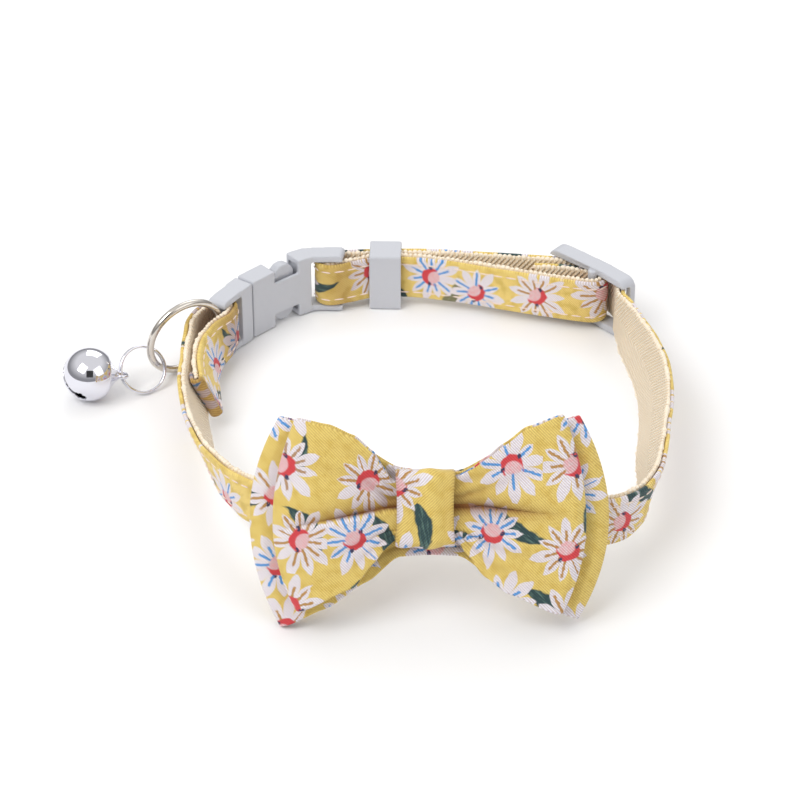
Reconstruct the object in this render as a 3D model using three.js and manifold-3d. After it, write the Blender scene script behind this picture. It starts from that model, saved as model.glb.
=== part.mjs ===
// Pet bow tie collar: printed strap on webbing, side-release buckle, keeper, slider,
// tag ring, split ring, bell and a double cloth bow. Millimetres, +Z up, lying on a table.
import * as THREE from 'three';
import { mergeVertices } from 'three/addons/utils/BufferGeometryUtils.js';
import Module from 'manifold-3d';

const wasm = await Module();
wasm.setup();

// Driving dimensions
const gap = 0.3;
const layer = { webbing: 1.0, cover: 1.0, between: 0.1, webbingWidth: 10.4, coverWidth: 9.6 };
const strapThickness = layer.webbing + layer.cover + layer.between;
const hardware = { height: 14.2, bottom: 0.25, bodyThickness: 4.6 };
const strapLevel = hardware.bottom + hardware.height / 2;
const barRadius = 1.1;
const turnRadius = barRadius + gap + strapThickness / 2;
const bowLean = THREE.MathUtils.degToRad(27);
const loopShift = { x: 13.16, y: 2.13 };

const plastic = { color: 0xc4c4cd, roughness: 0.45, metalness: 0 };
const printedCotton = { color: 0xe6cf78, roughness: 0.85, metalness: 0 };
const creamNylon = { color: 0xeadfc8, roughness: 0.7, metalness: 0 };
const chrome = { color: 0xd8d8dc, roughness: 0.08, metalness: 1 };
const nickel = { color: 0xb8aea2, roughness: 0.25, metalness: 1 };
const elastic = { color: 0xf0ead8, roughness: 0.8, metalness: 0 };

const collar = new THREE.Group();
const loop = new THREE.Group();
loop.position.set(loopShift.x, loopShift.y, 0);
collar.add(loop);

function addPiece(name, geometry, finish) {
  const mesh = new THREE.Mesh(geometry, new THREE.MeshStandardMaterial(finish));
  mesh.name = name;
  loop.add(mesh);
  return mesh;
}

// Closed meshes to solids and back, for joins and cuts
function toSolid(geometry) {
  const bare = geometry.index ? geometry.clone() : geometry;
  bare.deleteAttribute('normal');
  bare.deleteAttribute('uv');
  const merged = mergeVertices(bare, 1e-4);
  return new wasm.Manifold(new wasm.Mesh({
    numProp: 3,
    vertProperties: new Float32Array(merged.attributes.position.array),
    triVerts: new Uint32Array(merged.index.array),
  }));
}

function toGeometry(solid) {
  const mesh = solid.getMesh();
  const geometry = new THREE.BufferGeometry();
  geometry.setAttribute('position', new THREE.BufferAttribute(mesh.vertProperties, 3));
  geometry.setIndex(new THREE.BufferAttribute(mesh.triVerts, 1));
  return geometry;
}

function boxSolid(size, centre) {
  const geometry = new THREE.BoxGeometry(size[0], size[1], size[2]);
  geometry.translate(centre[0], centre[1], centre[2]);
  return toSolid(geometry);
}

// A closed surface from rings of points that follow each other; crossed swaps the quads' diagonal
function skinGeometry(rings, endless, crossed = false) {
  const positions = rings.flat().flatMap((p) => [p.x, p.y, p.z]);
  const around = rings[0].length;
  const indices = [];
  const last = endless ? rings.length : rings.length - 1;
  for (let i = 0; i < last; i += 1) {
    const next = (i + 1) % rings.length;
    for (let j = 0; j < around; j += 1) {
      const k = (j + 1) % around;
      const [a, b, c, d] = [i * around + j, next * around + j, next * around + k, i * around + k];
      indices.push(...(crossed ? [a, b, d, b, c, d] : [a, b, c, a, c, d]));
    }
  }
  if (!endless) {
    const end = (rings.length - 1) * around;
    for (let j = 1; j < around - 1; j += 1) {
      indices.push(0, j, j + 1);
      indices.push(end, end + j + 1, end + j);
    }
  }
  const geometry = new THREE.BufferGeometry();
  geometry.setAttribute('position', new THREE.Float32BufferAttribute(positions, 3));
  geometry.setIndex(indices);
  return geometry;
}

// Strap route
// x, y: middle of the strap in plan; z: height of its middle; lean: degrees its top leans to the
// printed side. The printed side is always on the right of the way the route runs.
const tailRows = [
  { x: -45.5, y: 6.6, z: 8.6, lean: -24 },
  { x: -46.3, y: 13, z: 8.4, lean: -24 },
  { x: -46.4, y: 20, z: 8.1, lean: -20 },
  { x: -44.9, y: 26, z: 8.2, lean: -12 },
  { x: -42.3, y: 31.4, z: 7.8, lean: -2 },
];
const loopRows = [
  { x: -49.7, y: 31.0, z: 8.2, lean: -4 },
  { x: -49.7, y: 25.5, z: 8.5, lean: 11 },
  { x: -49.2, y: 16, z: 8.1, lean: 23 },
  { x: -48.9, y: 6, z: 8.4, lean: 27 },
  { x: -47.2, y: -6, z: 9.0, lean: 27 },
  { x: -44.6, y: -18, z: 10.2, lean: 19 },
  { x: -40.3, y: -29.5, z: 12.1, lean: 9 },
  { x: -34.6, y: -38.2, z: 13.7, lean: 1 },
  { x: -25.5, y: -44.4, z: 15.4, lean: -10 },
  { x: -13, y: -47.6, z: 17.0, lean: -22 },
  { x: 0, y: -47.9, z: 17.3, lean: -27 },
  { x: 14, y: -48.3, z: 16.9, lean: -24 },
  { x: 27, y: -47.9, z: 15.4, lean: -13 },
  { x: 36.2, y: -45.6, z: 14.5, lean: -2 },
  { x: 41.8, y: -39.4, z: 13.9, lean: 8 },
  { x: 44.2, y: -30, z: 13.6, lean: 22 },
  { x: 45.4, y: -18, z: 13.0, lean: 31 },
  { x: 47.0, y: -5, z: 12.1, lean: 33 },
  { x: 47.3, y: 8, z: 11.0, lean: 32 },
  { x: 46.1, y: 19, z: 9.8, lean: 28 },
  { x: 44.2, y: 30, z: 8.2, lean: 20 },
  { x: 43.3, y: 36, z: 7.5, lean: 10 },
  { x: 42.2, y: 40.4, z: strapLevel, lean: 2 },
  { x: 42.4, y: 45, z: strapLevel, lean: 0 },
  { x: 41.7, y: 48.4, z: strapLevel, lean: 0 },
  { x: 40.3, y: 51.1, z: strapLevel, lean: 0 },
  { x: 37.8, y: 52.8, z: strapLevel, lean: 0 },
  { x: 34, y: 53.8, z: strapLevel, lean: 0 },
  { x: 28, y: 54.8, z: strapLevel, lean: 0 },
  { x: 14, y: 56.5, z: strapLevel, lean: 0 },
  { x: 3, y: 57.7, z: strapLevel, lean: 0 },
  { x: -10, y: 57.9, z: strapLevel, lean: 0 },
];
const returnRows = [
  { x: -17.0, y: 53.2, z: strapLevel, lean: 0 },
  { x: -13.0, y: 54.9, z: strapLevel, lean: 0 },
  { x: -10, y: 55.5, z: strapLevel, lean: 0 },
  { x: -3, y: 55.4, z: strapLevel, lean: 0 },
  { x: 6, y: 53.6, z: strapLevel, lean: 0 },
  { x: 17, y: 50.2, z: strapLevel, lean: 0 },
  { x: 28, y: 46.9, z: strapLevel, lean: 0 },
];
const endRows = [
  { x: 30.5, y: 51.3, z: strapLevel, lean: 0 },
  { x: 24, y: 51.9, z: strapLevel, lean: 0 },
];
// Bars that the strap turns round; from and to: degrees, counter-clockwise in plan
const prongBar = { x: -44.0, y: 35.4, from: -32, to: 148 };
const socketBar = { x: -21.0, y: 54.4, from: 93, to: 273 };
const sliderBar = { x: 36.5, y: 47.3, from: -100, to: 95 };

function turnRows(bar) {
  const rows = [];
  const steps = 6;
  for (let i = 0; i <= steps; i += 1) {
    const angle = THREE.MathUtils.degToRad(bar.from + ((bar.to - bar.from) * i) / steps);
    rows.push({
      x: bar.x + turnRadius * Math.cos(angle),
      y: bar.y + turnRadius * Math.sin(angle),
      z: strapLevel,
      lean: 0,
      turning: true,
    });
  }
  return rows;
}

const route = [
  ...tailRows, ...turnRows(prongBar), ...loopRows, ...turnRows(socketBar),
  ...returnRows, ...turnRows(sliderBar), ...endRows,
];

// Frames along a route: point, side (towards the print) and across (up the strap's width)
function routeFrames(rows, spacing) {
  const curve = new THREE.CatmullRomCurve3(rows.map((r) => new THREE.Vector3(r.x, r.y, r.z)));
  const frames = [];
  for (let i = 0; i < rows.length - 1; i += 1) {
    const from = rows[i];
    const to = rows[i + 1];
    const reach = Math.hypot(to.x - from.x, to.y - from.y);
    const steps = Math.max(1, Math.round(reach / (from.turning ? spacing / 2 : spacing)));
    const count = i === rows.length - 2 ? steps + 1 : steps;
    for (let j = 0; j < count; j += 1) {
      const share = j / steps;
      const t = (i + share) / (rows.length - 1);
      const ease = share * share * (3 - 2 * share);
      const lean = THREE.MathUtils.degToRad(from.lean + (to.lean - from.lean) * ease);
      const tangent = curve.getTangent(Math.min(t, 1));
      const level = new THREE.Vector3(tangent.y, -tangent.x, 0).normalize();
      const side = level.clone().multiplyScalar(Math.cos(lean));
      side.z = -Math.sin(lean);
      const across = level.multiplyScalar(Math.sin(lean));
      across.z = Math.cos(lean);
      frames.push({ point: curve.getPoint(Math.min(t, 1)), side, across });
    }
  }
  return frames;
}

// A strip along the frames; section: corners as [towards the print, up the width]
function stripGeometry(frames, section, crossed) {
  const rings = frames.map((f) => section.map(([out, up]) => f.point.clone()
    .addScaledVector(f.side, out)
    .addScaledVector(f.across, up)));
  return skinGeometry(rings, false, crossed);
}

const strapFrames = routeFrames(route, 3.2);
const webbingLow = -strapThickness / 2;
const webbingHigh = webbingLow + layer.webbing;
const coverLow = webbingHigh + layer.between;
const coverHigh = coverLow + layer.cover;
const webbingHalf = layer.webbingWidth / 2;
const coverHalf = layer.coverWidth / 2;
// The webbing's printed side has corners at the cover's edges too, so that the two stay parallel
const webbingSection = [
  [webbingLow, -webbingHalf], [webbingHigh, -webbingHalf], [webbingHigh, -coverHalf],
  [webbingHigh, coverHalf], [webbingHigh, webbingHalf], [webbingLow, webbingHalf],
];
const coverSection = [
  [coverLow, -coverHalf], [coverHigh, -coverHalf], [coverHigh, coverHalf], [coverLow, coverHalf],
];
addPiece('strap_webbing', stripGeometry(strapFrames, webbingSection, false), creamNylon);
addPiece('strap_cover', stripGeometry(strapFrames, coverSection, true), printedCotton);

// Plastic parts are cut flat (x along the part, y outwards, z up) and then bent along a plan curve
function bendAlong(solid, points) {
  const curve = new THREE.CatmullRomCurve3(points.map(([x, y]) => new THREE.Vector3(x, y, 0)));
  curve.arcLengthDivisions = 400;
  const length = curve.getLength();
  const geometry = toGeometry(solid);
  const position = geometry.attributes.position;
  for (let i = 0; i < position.count; i += 1) {
    const share = THREE.MathUtils.clamp(position.getX(i) / length, 0, 1);
    const spot = curve.getPointAt(share);
    const tangent = curve.getTangentAt(share);
    const out = position.getY(i);
    position.setXYZ(i, spot.x - tangent.y * out, spot.y + tangent.x * out, position.getZ(i));
  }
  return geometry;
}

// A plate with its face in the x-z plane, centred on y = centre, from an outline with arcs
function plateSolid(shape, thickness, centre, curveSegments = 3) {
  const geometry = new THREE.ExtrudeGeometry(shape, {
    depth: thickness, bevelEnabled: false, curveSegments, steps: 1,
  });
  geometry.rotateX(Math.PI / 2);
  geometry.translate(0, centre + thickness / 2, 0);
  return toSolid(geometry);
}

// Rounded rectangle with extra points along its long sides, so that it bends smoothly
function roundedOutline(x0, x1, z0, z1, radius, pieces) {
  const shape = new THREE.Shape();
  shape.moveTo(x0 + radius, z0);
  for (let i = 1; i <= pieces; i += 1) {
    shape.lineTo(x0 + radius + ((x1 - x0 - 2 * radius) * i) / pieces, z0);
  }
  shape.absarc(x1 - radius, z0 + radius, radius, -Math.PI / 2, 0, false);
  shape.absarc(x1 - radius, z1 - radius, radius, 0, Math.PI / 2, false);
  for (let i = 1; i <= pieces; i += 1) {
    shape.lineTo(x1 - radius - ((x1 - x0 - 2 * radius) * i) / pieces, z1);
  }
  shape.absarc(x0 + radius, z1 - radius, radius, Math.PI / 2, Math.PI, false);
  shape.absarc(x0 + radius, z0 + radius, radius, Math.PI, Math.PI * 1.5, false);
  return shape;
}

function barSolid(x, y, radius, z0, z1) {
  const geometry = new THREE.CylinderGeometry(radius, radius, z1 - z0, 12);
  geometry.rotateX(Math.PI / 2);
  geometry.translate(x, y, (z0 + z1) / 2);
  return toSolid(geometry);
}

// Side-release buckle
const bottom = hardware.bottom;
const top = hardware.bottom + hardware.height;
const railInner = layer.webbingWidth / 2 + gap;
const buckleLine = [
  [-45.2, 33.0], [-44.0, 35.4], [-41.2, 39.6], [-38.8, 43.0], [-35.0, 46.8], [-30.6, 50.6],
  [-27.2, 53.2], [-24.2, 54.3], [-21.0, 54.4], [-18.0, 53.9],
];
const buckle = {
  prongBarAt: 2.7, flange: 7.0, seam: 10.9, mouth: 11.2, window: 18.0, windowEnd: 24.8,
  body: 28.8, length: 37.2, socketDeep: 25.5, socketHalf: 1.45, windowDepth: 3.1,
};

// Strap end of a buckle half: two rails that hold a round bar
function strapEnd(x0, x1, barAt, barOut) {
  const outline = roundedOutline(x0, x1, bottom, top, 1.2, 3);
  const frame = plateSolid(outline, hardware.bodyThickness - 0.4, 0);
  const slot = boxSolid(
    [x1 - x0 + 4, 12, 2 * railInner],
    [(x0 + x1) / 2, 0, strapLevel],
  );
  return frame.subtract(slot).add(barSolid(barAt, barOut, barRadius, bottom + 1, top - 1));
}

function prongHalf() {
  const flange = plateSolid(
    roundedOutline(buckle.flange, buckle.seam, bottom, top, 0.5, 2),
    hardware.bodyThickness,
    0,
  );
  const tongue = boxSolid([12, 1.8, 5], [buckle.seam + 5.5, 0, strapLevel]);
  let half = strapEnd(0.2, buckle.flange + 1, buckle.prongBarAt, 0).add(flange).add(tongue);
  for (const sign of [-1, 1]) {
    const arm = boxSolid([11.5, 2.2, 1.6], [buckle.seam + 5.2, 0, strapLevel + sign * 4.2]);
    const press = new THREE.CylinderGeometry(2.9, 2.9, 2.2, 14);
    press.translate(21.4, 0, strapLevel + sign * 4.1);
    half = half.add(arm).add(toSolid(press));
  }
  return bendAlong(half, buckleLine);
}

function socketHalf() {
  const body = plateSolid(
    roundedOutline(buckle.mouth, buckle.body, bottom, top, 0.5, 8),
    hardware.bodyThickness,
    0,
  );
  const cavity = boxSolid(
    [buckle.socketDeep - buckle.mouth + 2, 2 * buckle.socketHalf, 11.4],
    [(buckle.socketDeep + buckle.mouth - 2) / 2, 0, strapLevel],
  );
  let half = body.subtract(cavity);
  const middle = (buckle.window + buckle.windowEnd) / 2;
  for (const sign of [-1, 1]) {
    const edge = sign > 0 ? top : bottom;
    half = half.subtract(boxSolid(
      [buckle.windowEnd - buckle.window, 12, 2 * buckle.windowDepth],
      [middle, 0, edge],
    ));
  }
  const end = strapEnd(buckle.body - 1.4, buckle.length - 0.2, buckle.length - 3.3, 0);
  return bendAlong(half.add(end), buckleLine);
}

addPiece('buckle_prong', prongHalf(), plastic);
addPiece('buckle_socket', socketHalf(), plastic);

// Keeper loop round both layers of the strap
const keeper = { x: -8.8, y: 56.6, width: 7.0, wall: 0.9, depth: 7.5, height: 13.6, turn: -0.03 };
function keeperGeometry() {
  const outer = roundedOutline(
    -keeper.depth / 2, keeper.depth / 2, 0.05, keeper.height, 0.5, 1,
  );
  const inner = boxSolid(
    [keeper.depth - 2 * keeper.wall, 40, layer.webbingWidth + 2 * gap],
    [0, 0, strapLevel],
  );
  const geometry = toGeometry(plateSolid(outer, keeper.width, 0).subtract(inner));
  geometry.rotateZ(Math.PI / 2 + keeper.turn);
  geometry.translate(keeper.x, keeper.y, 0);
  return geometry;
}
addPiece('keeper', keeperGeometry(), plastic);

// Three-bar slider
const slider = { length: 22.6, depth: 3.8, endBar: 1.5, middleBarAt: 12.9, middleBarOut: -2.1 };
const sliderLine = [[28.4, 57.3], [33.4, 53.2], [37.6, 49.2], [41.6, 44.6], [44.9, 40.6]];
function sliderGeometry() {
  const outline = roundedOutline(0.1, slider.length - 0.1, bottom, top, 2.2, 8);
  const opening = boxSolid(
    [slider.length - 2 * slider.endBar, 12, 2 * railInner],
    [slider.length / 2, 0, strapLevel],
  );
  const ends = boxSolid([60, slider.depth, 2 * railInner], [0, 0.3 - slider.depth / 2, strapLevel]);
  const frame = plateSolid(outline, slider.depth, 0).subtract(opening).subtract(ends);
  const bar = barSolid(slider.middleBarAt, slider.middleBarOut, barRadius, bottom + 0.6, top - 0.6);
  return bendAlong(frame.add(bar), sliderLine);
}
addPiece('slider', sliderGeometry(), plastic);

// Round wire rings: centre, outward and upward directions in the ring's plane
class RingCurve extends THREE.Curve {
  constructor(ring) {
    super();
    this.ring = ring;
  }

  getPoint(t, target = new THREE.Vector3()) {
    const { centre, radius, along, up } = this.ring;
    return target.copy(centre)
      .addScaledVector(along, radius * Math.cos(2 * Math.PI * t))
      .addScaledVector(up, radius * Math.sin(2 * Math.PI * t));
  }
}

function planeAxes(azimuth, tilt) {
  const turn = THREE.MathUtils.degToRad(azimuth);
  const lean = THREE.MathUtils.degToRad(tilt);
  const along = new THREE.Vector3(Math.cos(turn), Math.sin(turn), 0);
  const level = new THREE.Vector3(-Math.sin(turn), Math.cos(turn), 0);
  const up = level.multiplyScalar(Math.sin(lean)).setZ(Math.cos(lean));
  return { along, up };
}

function ringGeometry(ring, steps) {
  const curve = new RingCurve(ring);
  const sides = 8;
  const rings = [];
  const normal = ring.along.clone().cross(ring.up);
  for (let i = 0; i < steps; i += 1) {
    const point = curve.getPoint(i / steps);
    const outward = point.clone().sub(ring.centre).normalize();
    const section = [];
    for (let j = 0; j < sides; j += 1) {
      const angle = (2 * Math.PI * j) / sides;
      section.push(point.clone()
        .addScaledVector(outward, ring.wire * Math.cos(angle))
        .addScaledVector(normal, ring.wire * Math.sin(angle)));
    }
    rings.push(section);
  }
  return skinGeometry(rings, true);
}

const tagRing = {
  centre: new THREE.Vector3(-51.6, 27.6, 9.4), radius: 8.6, wire: 0.8, ...planeAxes(214, 8),
};
const splitRing = {
  centre: new THREE.Vector3(-60.5, 21.9, 4.6), radius: 4.9, wire: 0.45, ...planeAxes(25, 34),
};
addPiece('tag_ring', ringGeometry(tagRing, 36), nickel);
addPiece('split_ring', ringGeometry(splitRing, 24), chrome);

// Bell: thin shell with a slot across its far end and a wire eye
const bell = {
  centre: new THREE.Vector3(-71.4, 18.1, 5.9), radius: 5.75, wall: 0.6, slot: 1.1, hole: 1.3,
  eyeAt: 6.9, eyeRadius: 1.15, eyeWire: 0.4,
};
function bellGeometry() {
  const profile = [];
  const steps = 12;
  for (let i = 0; i <= steps; i += 1) {
    const angle = (Math.PI * i) / steps;
    profile.push(new THREE.Vector2(bell.radius * Math.sin(angle), -bell.radius * Math.cos(angle)));
  }
  profile[0].x = 0;
  profile[steps].x = 0;
  const outside = toSolid(new THREE.LatheGeometry(profile, 24));
  const scale = (bell.radius - bell.wall) / bell.radius;
  const inside = toSolid(new THREE.LatheGeometry(profile.map((p) => p.clone().multiplyScalar(scale)), 24));
  const slot = boxSolid([2 * bell.radius * 0.86, bell.radius * 1.2, bell.slot], [0, -bell.radius, 0]);
  let shell = outside.subtract(inside).subtract(slot);
  for (const sign of [-1, 1]) {
    const hole = new THREE.CylinderGeometry(bell.hole, bell.hole, 3, 10);
    hole.rotateZ(Math.PI / 2);
    hole.translate(sign * bell.radius * 0.86, -bell.radius * 0.42, 0);
    shell = shell.subtract(toSolid(hole));
  }
  const eye = ringGeometry({
    centre: new THREE.Vector3(0, bell.eyeAt, 0), radius: bell.eyeRadius, wire: bell.eyeWire,
    along: new THREE.Vector3(0, 1, 0), up: new THREE.Vector3(1, 0, 0),
  }, 12);
  return toGeometry(shell.add(toSolid(eye)));
}

const bellMesh = addPiece('bell', bellGeometry(), chrome);
bellMesh.position.copy(bell.centre);
bellMesh.quaternion.setFromUnitVectors(
  new THREE.Vector3(0, 1, 0),
  new THREE.Vector3(0.945, 0.25, -0.2).normalize(),
);

// Bow: each layer is a flat band of cloth folded at both ends and gathered at the middle
const bowFrame = new THREE.Group();
bowFrame.position.set(0, -51.5, 18.9);
bowFrame.rotation.x = Math.PI / 2 - bowLean;
loop.add(bowFrame);

// out: distance from the middle; high and low: edges of the cloth; puff: half depth of the band
const backRows = [
  { out: 0, high: 8.6, low: -6.6, puff: 0.85 },
  { out: 6, high: 9.8, low: -7.6, puff: 0.95 },
  { out: 12, high: 13.2, low: -12.4, puff: 1.35 },
  { out: 20, high: 16.9, low: -17.2, puff: 1.5 },
  { out: 28.6, high: 19.3, low: -20.6, puff: 1.1 },
];
const frontRows = [
  { out: 0, high: 8.5, low: -2.7, puff: 0.85 },
  { out: 7.2, high: 8.5, low: -2.7, puff: 0.85 },
  { out: 9, high: 11.0, low: -7.0, puff: 1.25 },
  { out: 13, high: 15.0, low: -11.4, puff: 1.6 },
  { out: 19, high: 18.2, low: -15.0, puff: 1.7 },
  { out: 25.2, high: 20.0, low: -17.4, puff: 1.1 },
];

function rowAt(rows, out) {
  const last = rows.length - 1;
  let i = 0;
  while (i < last - 1 && rows[i + 1].out < out) {
    i += 1;
  }
  const share = THREE.MathUtils.clamp((out - rows[i].out) / (rows[i + 1].out - rows[i].out), 0, 1);
  const mix = (key) => rows[i][key] + (rows[i + 1][key] - rows[i][key]) * share;
  return { high: mix('high'), low: mix('low'), puff: mix('puff') };
}

// Band of cloth: t runs round the band, v up it; the folded ends bow outwards at mid height
function bandGeometry(band) {
  const wall = 1.0;
  const around = 40;
  const up = 8;
  const cornerOut = band.rows[band.rows.length - 1].out;
  const pointAt = (i, j, depth) => {
    const angle = (2 * Math.PI * i) / around;
    const sweep = Math.cos(angle);
    const rise = (2 * j) / up - 1;
    const end = cornerOut + band.belly * (1 - rise * rise);
    const shape = Math.sign(sweep) * Math.abs(sweep) ** 0.8;
    const row = rowAt(band.rows, Math.abs(shape) * cornerOut);
    const v = rise > 0 ? row.high * rise : -row.low * rise;
    const face = Math.sin(angle) >= 0 ? 1 : -1;
    const flat = Math.min(1, Math.abs(Math.sin(angle)) * 2.4);
    const fold = face > 0 ? band.pleat * (row.puff - 0.6) * Math.exp(-((rise * 3.2) ** 2)) * flat : 0;
    const n = face * (row.puff * flat + depth * Math.min(1, flat * 1.5)) - fold;
    const tip = depth * (1 - flat) * Math.sign(shape);
    return new THREE.Vector3(shape * end + tip, v, n + band.level);
  };
  const rings = [];
  for (let i = 0; i < around; i += 1) {
    const section = [];
    for (let j = 0; j <= up; j += 1) {
      section.push(pointAt(i, j, wall / 2));
    }
    for (let j = up; j >= 0; j -= 1) {
      section.push(pointAt(i, j, -wall / 2));
    }
    rings.unshift(section);
  }
  return skinGeometry(rings, true);
}

const backBand = { rows: backRows, belly: 5.6, pleat: 0.6, level: 0 };
const frontBand = { rows: frontRows, belly: 4.4, pleat: 1.4, level: 4.6 };

function addToBow(name, geometry, finish) {
  const mesh = new THREE.Mesh(geometry, new THREE.MeshStandardMaterial(finish));
  mesh.name = name;
  bowFrame.add(mesh);
}

addToBow('bow_back', bandGeometry(backBand), printedCotton);
addToBow('bow_front', bandGeometry(frontBand), printedCotton);

// A flat sleeve along x: outer and inner size, rounded a little
function sleeveGeometry(sleeve) {
  const outline = roundedOutline(
    -sleeve.depth / 2, sleeve.depth / 2, -sleeve.height / 2, sleeve.height / 2, 0.8, 1,
  );
  const inner = boxSolid(
    [sleeve.depth - 2 * sleeve.wall, 60, sleeve.height - 2 * sleeve.wall],
    [0, 0, 0],
  );
  const geometry = toGeometry(plateSolid(outline, sleeve.width, 0).subtract(inner));
  geometry.rotateZ(Math.PI / 2);
  geometry.rotateX(Math.PI / 2);
  geometry.translate(sleeve.x, sleeve.up, sleeve.level);
  return geometry;
}

const knot = { x: -0.8, up: 2.8, level: 4.6, width: 11.0, height: 14.6, depth: 5.5, wall: 1.0 };
const holder = { x: 0, up: 0.2, level: -3.95, width: 8.0, height: 12.8, depth: 4.5, wall: 0.8 };
addToBow('bow_knot', sleeveGeometry(knot), printedCotton);
addToBow('bow_loop', sleeveGeometry(holder), elastic);

export default collar;
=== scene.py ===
import math
import bmesh
import bpy
from mathutils import Matrix, Vector, noise


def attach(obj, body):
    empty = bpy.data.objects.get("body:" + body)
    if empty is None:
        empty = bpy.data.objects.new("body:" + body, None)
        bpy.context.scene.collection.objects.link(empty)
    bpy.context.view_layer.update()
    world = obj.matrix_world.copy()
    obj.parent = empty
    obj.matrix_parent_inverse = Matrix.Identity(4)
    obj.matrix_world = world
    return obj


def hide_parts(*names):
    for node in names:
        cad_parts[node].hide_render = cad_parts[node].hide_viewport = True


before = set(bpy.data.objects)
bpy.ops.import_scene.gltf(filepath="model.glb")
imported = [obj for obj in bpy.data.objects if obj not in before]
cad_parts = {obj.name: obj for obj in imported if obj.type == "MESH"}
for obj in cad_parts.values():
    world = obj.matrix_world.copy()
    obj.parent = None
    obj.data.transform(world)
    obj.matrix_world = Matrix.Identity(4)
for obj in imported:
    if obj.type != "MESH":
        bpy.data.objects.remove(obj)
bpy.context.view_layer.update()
mm = 0.001
fullTurn = 2 * math.pi
loopShift = Vector((13.16, 2.13, 0.0))  # middle of the collar in plan, from the middle of its box


def srgb(red, green, blue):
    def linear(value):
        value /= 255
        return value / 12.92 if value <= 0.04045 else ((value + 0.055) / 1.055) ** 2.4
    return (linear(red), linear(green), linear(blue), 1.0)


def clamp(value, low=0.0, high=1.0):
    return max(low, min(high, value))


def smooth(value):
    value = clamp(value)
    return value * value * (3 - 2 * value)


# A small maker of shader nodes, used inside groups and materials
class NodeMaker:
    def __init__(self, tree):
        self.tree = tree

    def add(self, kind, **settings):
        node = self.tree.nodes.new(kind)
        for key, value in settings.items():
            setattr(node, key, value)
        return node

    def join(self, source, socket):
        if isinstance(source, bpy.types.NodeSocket):
            self.tree.links.new(source, socket)
        else:
            socket.default_value = source

    def math(self, operation, first, second=None, third=None, useClamp=False):
        node = self.add("ShaderNodeMath", operation=operation, use_clamp=useClamp)
        for index, value in enumerate((first, second, third)):
            if value is not None:
                self.join(value, node.inputs[index])
        return node.outputs[0]

    def vector(self, operation, first, second=None, scale=None):
        node = self.add("ShaderNodeVectorMath", operation=operation)
        self.join(first, node.inputs[0])
        if second is not None:
            self.join(second, node.inputs[1])
        if scale is not None:
            self.join(scale, node.inputs["Scale"])
        return node.outputs["Value"] if operation in ("LENGTH", "DOT_PRODUCT") else node.outputs[0]

    def split(self, vector):
        node = self.add("ShaderNodeSeparateXYZ")
        self.join(vector, node.inputs[0])
        return node.outputs

    def combine(self, x, y, z=0.0):
        node = self.add("ShaderNodeCombineXYZ")
        for value, socket in zip((x, y, z), node.inputs):
            self.join(value, socket)
        return node.outputs[0]

    def mix(self, factor, first, second, blend="MIX"):
        node = self.add("ShaderNodeMix", data_type="RGBA", blend_type=blend)
        self.join(factor, node.inputs["Factor"])
        self.join(first, node.inputs["A"])
        self.join(second, node.inputs["B"])
        return node.outputs["Result"]

    def noise(self, vector, scale, detail=2.0):
        node = self.add("ShaderNodeTexNoise")
        self.join(vector, node.inputs["Vector"])
        node.inputs["Scale"].default_value = scale
        node.inputs["Detail"].default_value = detail
        return node.outputs["Fac"]

    def step(self, value, edge, width):
        scaled = self.math("SUBTRACT", value, edge)
        return self.math("MULTIPLY_ADD", scaled, 1 / width, 0.5, useClamp=True)

    def within(self, value, edge, width):
        return self.math("SUBTRACT", 1.0, self.step(value, edge, width))

    def times(self, first, second):
        return self.math("MULTIPLY", first, second)

    def turned(self, x, y, angle):  # the same place along and across a direction
        cosine, sine = self.math("COSINE", angle), self.math("SINE", angle)
        along = self.math("ADD", self.times(x, cosine), self.times(y, sine))
        across = self.math("SUBTRACT", self.times(y, cosine), self.times(x, sine))
        return along, across

    def scatter(self, where, pitch, randomness):  # cells of one pitch: way from the middle, and three chances
        cells = self.add("ShaderNodeTexVoronoi", voronoi_dimensions="2D", feature="F1")
        scaled = self.vector("SCALE", where, scale=1 / pitch)
        self.join(scaled, cells.inputs["Vector"])
        cells.inputs["Scale"].default_value = 1.0
        cells.inputs["Randomness"].default_value = randomness
        away = self.vector("SUBTRACT", scaled, cells.outputs["Position"])
        return self.vector("SCALE", away, scale=pitch), self.split(cells.outputs["Color"])


def newGroup(name, inputs, outputs):
    group = bpy.data.node_groups.new(name, "ShaderNodeTree")
    for label, kind, value in inputs:
        socket = group.interface.new_socket(name=label, in_out="INPUT", socket_type=kind)
        if value is not None:
            socket.default_value = value
    for label, kind in outputs:
        group.interface.new_socket(name=label, in_out="OUTPUT", socket_type=kind)
    make = NodeMaker(group)
    start = make.add("NodeGroupInput")
    end = make.add("NodeGroupOutput")
    return group, make, start.outputs, end.inputs


# Flowers scattered one to a cell, each with its own turn and kind; sizes in millimetres
flowers = {"pitch": 13.6, "radius": 7.3, "petals": 11, "leafPitch": 15.0, "strokeWidth": 0.25}


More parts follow.
